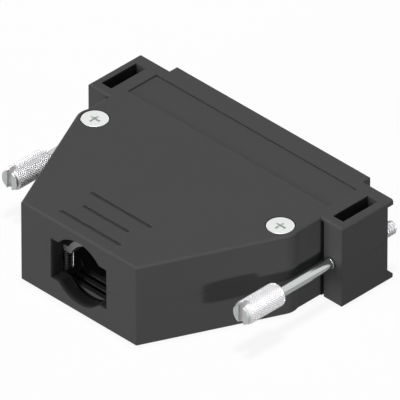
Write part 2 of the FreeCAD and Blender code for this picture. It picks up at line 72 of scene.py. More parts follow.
WHITE = (1.0, 1.0, 1.0)

log = logging.getLogger("hood")

Colour = tuple[float, float, float]
Profile = Sequence[tuple[float, float]]


class Side(Enum):
    """The two sides of the hood, as their direction along X."""

    LEFT = -1
    RIGHT = 1

    @property
    def label(self) -> str:
        """Gives the side's name as the nodes spell it."""
        return self.name.lower()


# Shader maths


class Channel:
    """A number that varies over a surface: a socket whose arithmetic adds Math nodes."""

    def __init__(self, craft: "NodeCraft", socket: bpy.types.NodeSocket) -> None:
        """Wraps the output socket that carries the number."""
        self.craft = craft
        self.socket = socket

    def _maths(self, operation: str, *operands: object) -> "Channel":
        """Adds one Math node for channels or plain numbers and gives its result."""
        node = self.craft.add("ShaderNodeMath", {"operation": operation}, dict(enumerate(operands)))
        return Channel(self.craft, node.outputs[0])

    def __add__(self, other: object) -> "Channel":
        """Adds."""
        return self._maths("ADD", self, other)

    def __sub__(self, other: object) -> "Channel":
        """Takes away."""
        return self._maths("SUBTRACT", self, other)

    def __rsub__(self, other: object) -> "Channel":
        """Takes this from a number."""
        return self._maths("SUBTRACT", other, self)

    def __mul__(self, other: object) -> "Channel":
        """Multiplies."""
        return self._maths("MULTIPLY", self, other)

    __radd__ = __add__
    __rmul__ = __mul__

    def at_most(self, other: object) -> "Channel":
        """Gives the smaller of the two."""
        return self._maths("MINIMUM", self, other)

    def at_least(self, other: object) -> "Channel":
        """Gives the larger of the two."""
        return self._maths("MAXIMUM", self, other)

    def ramp(self, low: float, high: float) -> "Channel":
        """Stretches the band from low to high onto 0 to 1, smoothly.

        Args:
            low: The value that becomes 0.
            high: The value that becomes 1.

        Returns:
            The stretched number.
        """
        settings = {"interpolation_type": "SMOOTHSTEP"}
        sockets = {"Value": self, "From Min": low, "From Max": high}
        node = self.craft.add("ShaderNodeMapRange", settings, sockets)
        return Channel(self.craft, node.outputs[0])


class NodeCraft:
    """Makes the nodes of one tree, which it empties first."""

    def __init__(self, tree: bpy.types.NodeTree) -> None:
        """Takes over the tree of a material or of the world."""
        self.tree = tree
        tree.nodes.clear()

    def set(self, node: bpy.types.Node, key: object, value: object) -> None:
        """Sets or links one input of a node.

        Args:
            node: The node.
            key: The input's name or number.
            value: A Channel, a socket, or a plain value.
        """
        if isinstance(value, Channel):
            value = value.socket
        if isinstance(value, bpy.types.NodeSocket):
            self.tree.links.new(value, node.inputs[key])
        elif isinstance(value, tuple) and len(value) == 3 and node.inputs[key].type == "RGBA":
            node.inputs[key].default_value = (*value, 1.0)
        else:
            node.inputs[key].default_value = value

    def add(self, kind: str, settings: dict | None = None, sockets: dict | None = None) -> bpy.types.Node:
        """Adds a node of any type.

        Args:
            kind: The node's type.
            settings: Its own settings, set first.
            sockets: Its inputs by name or number, as values or links.

        Returns:
            The node.
        """
        node = self.tree.nodes.new(kind)
        for name, value in (settings or {}).items():
            setattr(node, name, value)
        for key, value in (sockets or {}).items():
            self.set(node, key, value)
        return node

    def rays(self, *kinds: str) -> Channel:
        """Tells rays apart.

        Args:
            kinds: The names of the Light Path outputs that count.

        Returns:
            1 for a ray of one of the kinds and 0 for others.
        """
        path = self.add("ShaderNodeLightPath")
        first, *others = (Channel(self, path.outputs[kind]) for kind in kinds)
        for other in others:
            first = first.at_least(other)
        return first


class MaterialCraft(NodeCraft):
    """Makes the nodes of one material round its principled shader."""

    def __init__(self, name: str) -> None:
        """Starts a material with an output and a principled shader.

        Args:
            name: The material's name.
        """
        self.material = bpy.data.materials.new(name)
        self.material.use_nodes = True
        super().__init__(self.material.node_tree)
        self.shader = self.add("ShaderNodeBsdfPrincipled")
        self.output = self.add("ShaderNodeOutputMaterial", None, {"Surface": self.shader.outputs[0]})

    def place(self) -> bpy.types.NodeSocket:
        """Gives the point on the object, in metres."""
        return self.add("ShaderNodeTexCoord").outputs["Object"]

    def noise(self, size: float, detail: float = 2.0, stretch: tuple = (1.0, 1.0, 1.0)) -> Channel:
        """Adds a soft random pattern.

        Args:
            size: The size of its blotches, in metres.
            detail: How many finer layers it has.
            stretch: How far the pattern is squeezed along X, Y and Z.

        Returns:
            The pattern, from 0 to 1.
        """
        scaled = self.add("ShaderNodeMapping", None, {"Vector": self.place(), "Scale": stretch})
        sockets = {"Vector": scaled.outputs[0], "Scale": 1.0 / size, "Detail": detail}
        return Channel(self, self.add("ShaderNodeTexNoise", None, sockets).outputs[0])

    def grains(self, size: float) -> Channel:
        """Adds a pattern of small cells, as spark erosion leaves in a mould.

        Args:
            size: The size of a cell, in metres.

        Returns:
            The distance to the nearest cell centre, about 0 to 1.
        """
        sockets = {"Vector": self.place(), "Scale": 1.0 / size}
        node = self.add("ShaderNodeTexVoronoi", {"feature": "SMOOTH_F1"}, sockets)
        return Channel(self, node.outputs["Distance"])

    def blend(self, share: object, first: object, second: object) -> bpy.types.NodeSocket:
        """Mixes two colours, plain or from nodes, by how much of the second shows."""
        node = self.add("ShaderNodeMix", {"data_type": "RGBA"}, {0: share, 6: first, 7: second})
        return node.outputs[2]

    def rounded_normal(self, radius: float) -> bpy.types.NodeSocket:
        """Gives the normal that the surface would have with its edges rounded to a radius."""
        return self.add("ShaderNodeBevel", {"samples": SHADER_RAYS}, {"Radius": radius}).outputs[0]

    def edge_wear(self, radius: float) -> Channel:
        """Finds sharp edges by how far a rounded normal leans from the true one.

        Args:
            radius: How far the mask reaches from the edge, in metres.

        Returns:
            0 on flat faces and more towards an edge.
        """
        true = self.add("ShaderNodeNewGeometry")
        sockets = {0: self.rounded_normal(radius), 1: true.outputs["Normal"]}
        dot = self.add("ShaderNodeVectorMath", {"operation": "DOT_PRODUCT"}, sockets)
        return 1.0 - Channel(self, dot.outputs["Value"])

    def nearness(self, reach: float) -> Channel:
        """Finds inner corners and grooves, where other faces of the same piece are near.

        Args:
            reach: How far it looks, in metres.

        Returns:
            0 on open flat faces and more towards an inner corner.
        """
        settings = {"samples": SHADER_RAYS, "only_local": True}
        node = self.add("ShaderNodeAmbientOcclusion", settings, {"Distance": reach})
        return 1.0 - Channel(self, node.outputs["AO"])

    def bump(self, height: object, strength: float, depth: float, edge: float = 0.0) -> None:
        """Gives the shader a bumped normal.

        Args:
            height: The height pattern.
            strength: How much of it shows.
            depth: The height of 1 in the pattern, in metres.
            edge: The radius that sharp edges seem to have, in metres, or 0.
        """
        sockets = {"Height": height, "Strength": strength, "Distance": depth}
        if edge:
            sockets["Normal"] = self.rounded_normal(edge)
        self.dress(Normal=self.add("ShaderNodeBump", None, sockets).outputs[0])

    def dress(self, **sockets: object) -> None:
        """Sets the principled shader's inputs, with underscores for the spaces in their names."""
        for name, value in sockets.items():
            self.set(self.shader, name.replace("_", " "), value)


# Finishes


@dataclass(frozen=True)
class MouldedPlastic:
    """Black filled plastic with the fine matt grain of an eroded mould."""

    name: str = "black_plastic"
    colour: Colour = (0.0695, 0.0695, 0.0705)
    contrast: float = 0.14
    roughness: float = 0.38
    specular: float = 0.03
    grain: float = 0.16 * MM
    grain_depth: float = 0.012 * MM
    grain_strength: float = 0.35
    grain_share: float = 0.10
    flow: float = 9.0 * MM
    flow_detail: float = 3.0
    flow_stretch: tuple = (1.0, 0.35, 1.0)
    flow_height: float = 0.5
    flow_share: float = 0.16
    # Lighter colour on scuffed edges: partly rubbing wear, partly a painted highlight along the rims.
    worn: Colour = (0.115, 0.115, 0.117)
    wear_reach: float = 0.18 * MM
    wear_gain: float = 4.0
    wear_share: float = 0.35
    wear_polish: float = 0.12
    scuff: float = 1.1 * MM
    scuff_detail: float = 4.0
    scuff_band: tuple = (0.46, 0.72)
    # Painted shade: the colour that inner corners and grooves darken towards.
    hollow: Colour = (0.022, 0.022, 0.023)
    crevice_reach: float = 0.3 * MM
    crevice_gain: float = 1.6
    edge_radius: float = 0.22 * MM

    def make(self) -> bpy.types.Material:
        """Makes the material: mottled grain, painted shade in inner corners, and scuffed edges lightened
        partly by rubbing and partly as a painted highlight.

        Returns:
            The material.
        """
        craft = MaterialCraft(self.name)
        grain = craft.grains(self.grain)
        flow = craft.noise(self.flow, self.flow_detail, self.flow_stretch)
        scuffs = craft.noise(self.scuff, self.scuff_detail).ramp(*self.scuff_band)
        # Edge mark, partly rubbing wear and partly painted highlight, broken up by scuffs.
        rub_and_highlight = (craft.edge_wear(self.wear_reach) * self.wear_gain).at_most(1.0) * scuffs
        # Painted shade: darkens inner corners and grooves, where other faces of the piece are near.
        corner_shade = (craft.nearness(self.crevice_reach) * self.crevice_gain).at_most(1.0)
        light = (flow - 0.5) * self.flow_share + (grain - 0.5) * self.grain_share + 0.5
        darker = tuple(c * (1.0 - self.contrast) for c in self.colour)
        lighter = tuple(c * (1.0 + self.contrast) for c in self.colour)
        base = craft.blend(corner_shade, craft.blend(light, darker, lighter), self.hollow)
        craft.dress(
            Base_Color=craft.blend(rub_and_highlight * self.wear_share, base, self.worn),
            Roughness=self.roughness + (grain - 0.5) * self.grain_share - rub_and_highlight * self.wear_polish,
            Specular_IOR_Level=self.specular,
        )
        relief = grain + flow * self.flow_height
        craft.bump(relief, self.grain_strength, self.grain_depth, self.edge_radius)
        return craft.material


@dataclass(frozen=True)
class PlatedSteel:
    """Plated steel, with fine marks and duller clouds."""

    name: str
    colour: Colour
    shade: Colour
    roughness: float
    metallic: float = 1.0
    across: tuple = (1.0, 1.0, 1.0)
    mark: float = 0.5 * MM
    mark_detail: float = 2.0
    mark_depth: float = 0.004 * MM
    mark_strength: float = 0.4
    mark_share: float = 0.2
    mark_roughness: float = 0.10
    cloud: float = 2.4 * MM
    cloud_detail: float = 3.0
    cloud_band: tuple = (0.48, 0.80)
    cloud_share: float = 0.55
    cloud_roughness: float = 0.08
    edge_radius: float = 0.03 * MM

    def metal_share(self, craft: MaterialCraft) -> object:
        """Gives how metallic the surface is, here one number for all of it."""
        return self.metallic

    def coarse_share(self, craft: MaterialCraft) -> object:
        """Gives what a finish adds to the roughness in places, here nothing."""
        return 0.0

    def tint(self, craft: MaterialCraft, base: object) -> object:
        """Gives the surface's colour, here the plate's own."""
        return base

    def make(self) -> bpy.types.Material:
        """Makes the material.

        Returns:
            The material.
        """
        craft = MaterialCraft(self.name)
        marks = craft.noise(self.mark, self.mark_detail, self.across)
        tarnish = craft.noise(self.cloud, self.cloud_detail).ramp(*self.cloud_band)
        dull = tarnish * self.cloud_share + marks * self.mark_share
        coarse = (marks - 0.5) * self.mark_roughness + tarnish * self.cloud_roughness
        craft.dress(
            Base_Color=self.tint(craft, craft.blend(dull, self.colour, self.shade)),
            Metallic=self.metal_share(craft),
            Roughness=self.roughness + coarse + self.coarse_share(craft),
        )
        craft.bump(marks, self.mark_strength, self.mark_depth, self.edge_radius)
        return craft.material


@dataclass(frozen=True)
class ScrewNickel(PlatedSteel):
    """Nickel plate on a jackscrew: satin on its head and thread, bright on its shank."""

    knurl_start: float = -35.33 * MM
    head_end: float = -26.17 * MM
    thread_start: float = 0.3 * MM
    fade: float = 0.02 * MM
    satin_metallic: float = 0.6
    satin_colour: Colour = (0.79, 0.78, 0.795)
    satin_coarse: float = 0.12

    def beyond(self, craft: MaterialCraft, start: float) -> Channel:
        """Gives 1 beyond a place along Y, in metres, and 0 before it."""
        parts = craft.add("ShaderNodeSeparateXYZ", None, {0: craft.place()})
        return Channel(craft, parts.outputs[1]).ramp(start - self.fade, start)

    def on_satin(self, craft: MaterialCraft) -> Channel:
        """Gives 1 on the head and the thread, and 0 on the shank."""
        return 1.0 - self.beyond(craft, self.head_end) + self.beyond(craft, self.thread_start)

    def metal_share(self, craft: MaterialCraft) -> Channel:
        """Gives less metal on head and thread, where fine scratches scatter the light."""
        return self.metallic - self.on_satin(craft) * (self.metallic - self.satin_metallic)

    def coarse_share(self, craft: MaterialCraft) -> Channel:
        """Gives more roughness on head and thread."""
        return self.on_satin(craft) * self.satin_coarse

    def tint(self, craft: MaterialCraft, base: object) -> bpy.types.NodeSocket:
        """Gives the knurl and the thread a colour of their own, and the rest the plate's."""
        knurled = self.beyond(craft, self.knurl_start) - self.beyond(craft, self.head_end)
        return craft.blend(knurled + self.beyond(craft, self.thread_start), base, self.satin_colour)


@dataclass(frozen=True)
class PaleFloor:
    """A studio floor: white to the camera with a soft shadow, duller in metal, and dark as a light."""

    name: str = "studio_floor"
    glow: float = 0.90
    mirror_glow: float = 0.42
    seen_colour: Colour = (0.94, 0.94, 0.94)
    lit_colour: Colour = (0.16, 0.16, 0.16)
    roughness: float = 0.85
    mottle: float = 0.12
    mottle_share: float = 0.1

    def make(self) -> bpy.types.Material:
        """Makes the material.

        Returns:
            The material.
        """
        craft = MaterialCraft(self.name)
        seen = craft.rays("Is Camera Ray", "Is Transmission Ray")
        mirrored = craft.rays("Is Glossy Ray")
        craft.dress(
            Base_Color=craft.blend(seen, self.lit_colour, self.seen_colour),
            Roughness=self.roughness + craft.noise(self.mottle) * self.mottle_share,
            Specular_IOR_Level=0.0,
        )
        glow = craft.add("ShaderNodeEmission", None, {"Color": WHITE, "Strength": 1.0})
        share = (seen * self.glow).at_least(mirrored * self.mirror_glow)
        sockets = {0: share, 1: craft.shader.outputs[0], 2: glow.outputs[0]}
        mixed = craft.add("ShaderNodeMixShader", None, sockets)
        craft.set(craft.output, "Surface", mixed.outputs[0])
        return craft.material


# Mesh tools


def link_mesh(name: str, work: bmesh.types.BMesh) -> bpy.types.Object:
    """Turns a working mesh into an object, just as it is.

    Args:
        name: The object's name.
        work: The mesh, which is freed.

    Returns:
        The object, linked to the scene.
    """
    mesh = bpy.data.meshes.new(name)
    work.to_mesh(mesh)
    work.free()
    piece = bpy.data.objects.new(name, mesh)
    bpy.context.scene.collection.objects.link(piece)
    return piece


def crease(mesh: bpy.types.Mesh) -> None:
    """Smooths all faces of a mesh, except across its sharp edges.

    Args:
        mesh: The mesh.
    """
    for polygon in mesh.polygons:
        polygon.use_smooth = True
    mesh.set_sharp_from_angle(angle=SHARP_ANGLE)


def finish_mesh(name: str, work: bmesh.types.BMesh) -> bpy.types.Object:
    """Turns a working mesh into an object with smooth faces and sharp creases.

    Args:
        name: The object's name.
        work: The mesh, which is freed.

    Returns:
        The object, linked to the scene.
    """
    bmesh.ops.remove_doubles(work, verts=work.verts, dist=WELD)
    bmesh.ops.recalc_face_normals(work, faces=work.faces)
    piece = link_mesh(name, work)
    crease(piece.data)
    return piece


def merge(target: bpy.types.Object, *others: bpy.types.Object) -> None:
    """Adds the faces of other pieces to a piece and deletes the others.

    Args:
        target: The piece that stays.
        others: The pieces that it takes in.
    """
    joined = bmesh.new()
    for piece in (target, *others):
        joined.from_mesh(piece.data)
    joined.to_mesh(target.data)
    joined.free()
    for piece in others:
        bpy.data.objects.remove(piece)
    crease(target.data)


def polar(work: bmesh.types.BMesh, radius: float, angle: float, height: float) -> bmesh.types.BMVert:
    """Adds a point by its radius, its angle round the Z axis and its height."""
    return work.verts.new((radius * math.cos(angle), radius * math.sin(angle), height))


def bridge(work: bmesh.types.BMesh, first: Sequence, second: Sequence) -> None:
    """Joins two rings of points by a band of faces.

    Args:
        work: The mesh that takes the faces.
        first: The points of one ring, or one point again and again for a pole.
        second: As many points of the other ring.
    """
    for k in range(len(first)):
        after = (k + 1) % len(first)
        corners = list(dict.fromkeys((first[k], first[after], second[after], second[k])))
        if len(corners) > 2:
            work.faces.new(corners)


def close_rims(work: bmesh.types.BMesh) -> None:
    """Closes the open ends of a mesh."""
    rims = [edge for edge in work.edges if edge.is_boundary]
    bmesh.ops.holes_fill(work, edges=rims, sides=0)


def turn_profile(work: bmesh.types.BMesh, profile: Profile, segments: int = 72) -> None:
    """Revolves a profile round the Z axis and closes it at both ends.

    Args:
        work: The mesh that takes the faces.
        profile: Pairs of radius and height, from one end to the other.
        segments: How many steps go round.
    """
    rings = []
    for radius, height in profile:
        if radius < WELD:
            rings.append([work.verts.new((0.0, 0.0, height))] * segments)
            continue
        rings.append([polar(work, radius, FULL_TURN * k / segments, height) for k in range(segments)])
    for low, high in zip(rings, rings[1:]):
        bridge(work, low, high)
    for ring in (rings[0], rings[-1]):
        if len(set(ring)) > 2:
            work.faces.new(ring)


def rounded_corner(centre: tuple, radius: float, start: float, end: float, steps: int) -> Profile:
    """Gives the points of an arc in a profile.

    Args:
        centre: The arc's centre, as radius and height.
        radius: The arc's radius.
        start: The first angle, in degrees from the radius direction.
        end: The last angle, in degrees.
        steps: How many steps the arc has.

    Returns:
        Pairs of radius and height.
    """
    angles = [math.radians(start + (end - start) * k / steps) for k in range(steps + 1)]
    return [(centre[0] + radius * math.cos(a), centre[1] + radius * math.sin(a)) for a in angles]


@dataclass(frozen=True)
class Thread:
    """An outside screw thread on the Z axis, from a low to a high end."""

    radius: float
    pitch: float
    low: float
    high: float
    lead_in: float
    segments: int = 48

    # Share of the pitch and share of the depth, along one turn of the form
    FORM: ClassVar[Profile] = (
        (0.0, 0.0), (0.125, 0.0), (0.19, 0.16), (0.44, 0.94), (0.5, 1.0), (0.625, 1.0), (0.69, 0.94),
        (0.94, 0.16),
    )

    @property
    def depth(self) -> float:
        """Gives the depth of the thread."""
        return THREAD_DEPTH * self.pitch

    def limit(self, height: float) -> float:
        """Gives how far out the thread may stand near its two ends.

        Args:
            height: The place along the axis.

        Returns:
            The largest radius there.
        """
        core = self.radius - self.depth
        rise = min(height - self.low, (self.high - height) * self.depth / self.lead_in)
        return core + max(0.0, rise)

    def cut(self, work: bmesh.types.BMesh) -> None:
        """Adds the threaded surface and its two end faces.

        Args:
            work: The mesh that takes the faces.
        """
        form, count = self.FORM, len(self.FORM)
        turns = math.ceil((self.high - self.low) / self.pitch) + 2
        columns = []
        for k in range(self.segments):
            angle = FULL_TURN * k / self.segments
            column = []
            for row in range(turns * count + 1):
                turn, step = divmod(row, count)
                share, drop = form[step]
                height = self.low + self.pitch * (turn - 1 + share + k / self.segments)
                height = min(max(height, self.low), self.high)
                radius = min(self.radius - self.depth * (1.0 - drop), self.limit(height))
                column.append(polar(work, radius, angle, height))
            columns.append(column)
        for k in range(self.segments):
            here = columns[k]
            last = k + 1 == self.segments
            after = columns[0][count:] if last else columns[k + 1]
            for row in range(len(after) - 1):
                work.faces.new((here[row], after[row], after[row + 1], here[row + 1]))
        bmesh.ops.remove_doubles(work, verts=work.verts, dist=WELD)
        close_rims(work)


def carve(target: bpy.types.Object, cutter: bpy.types.Object) -> None:
    """Cuts one closed mesh out of another and deletes the cutter.

    Args:
        target: The piece that is cut.
        cutter: The shape that is taken out.
    """
    modifier = target.modifiers.new("cut", "BOOLEAN")
    modifier.operation, modifier.solver, modifier.object = "DIFFERENCE", "EXACT", cutter
    bpy.context.view_layer.update()
    seen = target.evaluated_get(bpy.context.evaluated_depsgraph_get())
    mesh = bpy.data.meshes.new_from_object(seen)
    target.modifiers.clear()
    target.data = mesh
    bpy.data.objects.remove(cutter)
    mesh.set_sharp_from_angle(angle=SHARP_ANGLE)


def settle(piece: bpy.types.Object, place: Matrix, body: str, material: bpy.types.Material,
           node: str) -> None:
    """Moves a finished mesh to its place, dresses it and lets it ride for its node.

    Args:
        piece: The piece, built round its own Z axis.
        place: Where that axis goes.
        body: The body that it rides on.
        material: Its finish.
        node: The node that it stands for.
    """
    piece.data.transform(place)
    piece.data.materials.clear()
    piece.data.materials.append(material)
    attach(piece, body)
    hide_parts(node)
    log.info("%s: %d faces", piece.name, len(piece.data.polygons))


def paint(node: str, material: bpy.types.Material) -> None:
    """Gives a node's own solid its finish.

    Args:
        node: The node.
        material: Its finish.
    """
    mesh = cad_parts[node].data
    mesh.materials.clear()
    mesh.materials.append(material)
    log.info("%s: %s", node, material.name)


def centre_of(node: str) -> Vector:
    """Gives the middle of a node's box, in metres."""
    low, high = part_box(node)
    return (low + high) / 2


# Sub-assemblies


@dataclass
class Shells:
    """The two moulded half shells, which keep their own solids."""

    nodes: tuple = ("upper_shell", "lower_shell")

    def dress(self, material: bpy.types.Material) -> None:
        """Gives both shells the moulded plastic."""
        for node in self.nodes:
            paint(node, material)


@dataclass
class CornerWeb:
    """The thin web that closes the groove between one ear and the hood's side at the upper face."""

    side: Side
    near: float = 27.88 * MM
    far: float = 28.73 * MM
    front: float = -12.13 * MM
    depth: float = 1.0 * MM
    top: float = 8.985 * MM
    thickness: float = 0.6 * MM
    rim: float = 0.5 * MM

    def build(self) -> bpy.types.Object:
        """Builds the web in its place, with the rounded rim of the ear.

        Returns:
            The web.
        """
        back, under = self.front + self.depth, self.top - self.thickness
        rim = rounded_corner((self.front + self.rim, self.top - self.rim), self.rim, 180, 90, 8)
        outline = [(self.front, under), *rim, (back, self.top), (back, under)]
        work = bmesh.new()
        ends = [[work.verts.new((x * self.side.value, y, z)) for y, z in outline]
                for x in (self.near, self.far)]
        for end in ends:
            work.faces.new(end)
        bridge(work, *ends)
        return finish_mesh(f"ear_web_{self.side.label}", work)

    def dress(self, material: bpy.types.Material) -> None:
        """Builds the web and lets it ride on the hood.

        Args:
            material: The moulded plastic.
        """
        piece = self.build()
        piece.data.materials.append(material)
        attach(piece, "hood")
        log.info("%s: %d faces", piece.name, len(piece.data.polygons))


@dataclass
class CountersunkScrew:
    """A countersunk machine screw with a cross recess and a cut thread."""

    node: str
    body: str
    faces_up: bool
    head_radius: float = 2.66 * MM
    rim: float = 0.25 * MM
    thread_radius: float = 1.475 * MM
    pitch: float = 0.5 * MM
    recess_span: float = 2.8 * MM
    recess_width: float = 0.5 * MM
    recess_depth: float = 0.75 * MM
    recess_foot: tuple = (0.24, 0.36)
    recess_above: float = 0.2 * MM
    recess_spare: tuple = (0.05 * MM, 0.02 * MM)
    plain_length: float = 0.5 * MM
    edge: float = 0.07 * MM
    blend: float = 0.12 * MM
    relief: float = 0.02 * MM
    neck: float = 0.1 * MM
    taper: float = 0.15 * MM
    overlap: float = 0.05 * MM
    lead_in: float = 0.3 * MM

    def build(self) -> bpy.types.Object:
        """Builds the screw, its head's face at z = 0 and its point down.

        Returns:
            The screw.
        """
        low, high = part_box(self.node)
        cone_end = self.rim + self.head_radius - self.thread_radius
        shank_end = -(cone_end + self.plain_length)
        shank_radius = self.thread_radius - self.relief
        core = self.thread_radius - THREAD_DEPTH * self.pitch - self.relief / 2
        corner = (self.head_radius - self.edge, -self.edge)
        upper = bmesh.new()
        turn_profile(upper, [
            (0.0, 0.0),
            (self.head_radius - self.edge * 2.2, 0.0),
            *rounded_corner(corner, self.edge, 80, 0, 3),
            (self.head_radius, -self.rim),
            (self.thread_radius + self.blend, -(cone_end - self.blend)),
            (shank_radius, -(cone_end + self.neck)),
            (shank_radius, shank_end),
            (core, shank_end - self.taper),
            (0.0, shank_end - self.taper),
        ])
        head = finish_mesh(f"{self.node}_detail", upper)
        for arm_turn in (0.0, math.pi / 2):
            carve(head, self.recess_arm(arm_turn))
        stem = bmesh.new()
        start, end = low.z - high.z, shank_end + self.overlap
        Thread(self.thread_radius, self.pitch, start, end, self.lead_in).cut(stem)
        merge(head, finish_mesh("stem", stem))
        return head

    def recess_arm(self, arm_turn: float) -> bpy.types.Object:
        """Builds one tapered arm of the cross that is cut into the head.

        Args:
            arm_turn: How far the arm is turned about the axis, in radians.

        Returns:
            The cutter.
        """
        work = bmesh.new()
        turn = Matrix.Rotation(arm_turn, 4, "Z")
        corners = []
        foot_span, foot_width = self.recess_foot
        spare_span, spare_width = self.recess_spare
        for height, arm, half in (
            (self.recess_above, self.recess_span / 2 + spare_span, self.recess_width / 2 + spare_width),
            (-self.recess_depth, self.recess_span * foot_span, self.recess_width * foot_width),
        ):
            corners.append([
                work.verts.new(turn @ Vector((x * arm, y * half, height)))
                for x, y in ((-1, -1), (1, -1), (1, 1), (-1, 1))
            ])
        upper, lower = corners
        work.faces.new(upper)
        work.faces.new(list(reversed(lower)))
        bridge(work, lower, upper)
        bmesh.ops.recalc_face_normals(work, faces=work.faces)
        return link_mesh("recess", work)

    def dress(self, material: bpy.types.Material) -> None:
        """Builds the screw and puts it in place of its node.

        Args:
            material: The plated steel.
        """
        low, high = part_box(self.node)
        middle = centre_of(self.node)
        height = high.z if self.faces_up else low.z
        place = Matrix.Translation((middle.x, middle.y, height))
        if not self.faces_up:
            place = place @ Matrix.Rotation(math.pi, 4, "X")
        settle(self.build(), place, self.body, material, self.node)


@dataclass
class HexagonNut:
    """A hexagon nut with chamfered corners and a threaded hole."""

    node: str
    flats: float = 5.5 * MM
    hole_radius: float = 1.535 * MM
    pitch: float = 0.5 * MM
    groove_depth: float = 0.24 * MM
    chamfer: float = math.radians(30)
    segments: int = 72

    def build(self, height: float) -> bpy.types.Object:
        """Builds the nut, its lower face at z = 0.

        Args:
            height: The nut's height.

        Returns:
            The nut.
        """
        corner = self.flats / math.sqrt(3)
        drop = (corner - self.flats / 2) * math.tan(self.chamfer)
        angles = [FULL_TURN * k / self.segments for k in range(self.segments)]
        work = bmesh.new()
        rings = []
        for level, chamfered in ((0.0, True), (drop, False), (height - drop, False), (height, True)):
            ring = []
            for angle in angles:
                off = (angle + math.pi / 6) % (math.pi / 3) - math.pi / 6
                reach = self.flats / 2 / (1.0 if chamfered else math.cos(off))
                ring.append(polar(work, reach, angle, level))
            rings.append(ring)
        steps = int(height / (self.pitch / 2))
        for row in range(steps + 1):
            level = height - row * height / steps
            grooved = row % 2 or row in (0, steps)
            radius = self.hole_radius + (self.groove_depth if grooved else 0.0)
            rings.append([polar(work, radius, angle, level) for angle in angles])
        for k, ring in enumerate(rings):
            bridge(work, ring, rings[(k + 1) % len(rings)])
        return finish_mesh(f"{self.node}_detail", work)

    def dress(self, material: bpy.types.Material) -> None:
        """Builds the nut and puts it in place of its node.

        Args:
            material: The plated steel.
        """
        low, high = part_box(self.node)
        middle = centre_of(self.node)
        place = Matrix.Translation((middle.x, middle.y, low.z))
        settle(self.build(high.z - low.z), place, "hood", material, self.node)


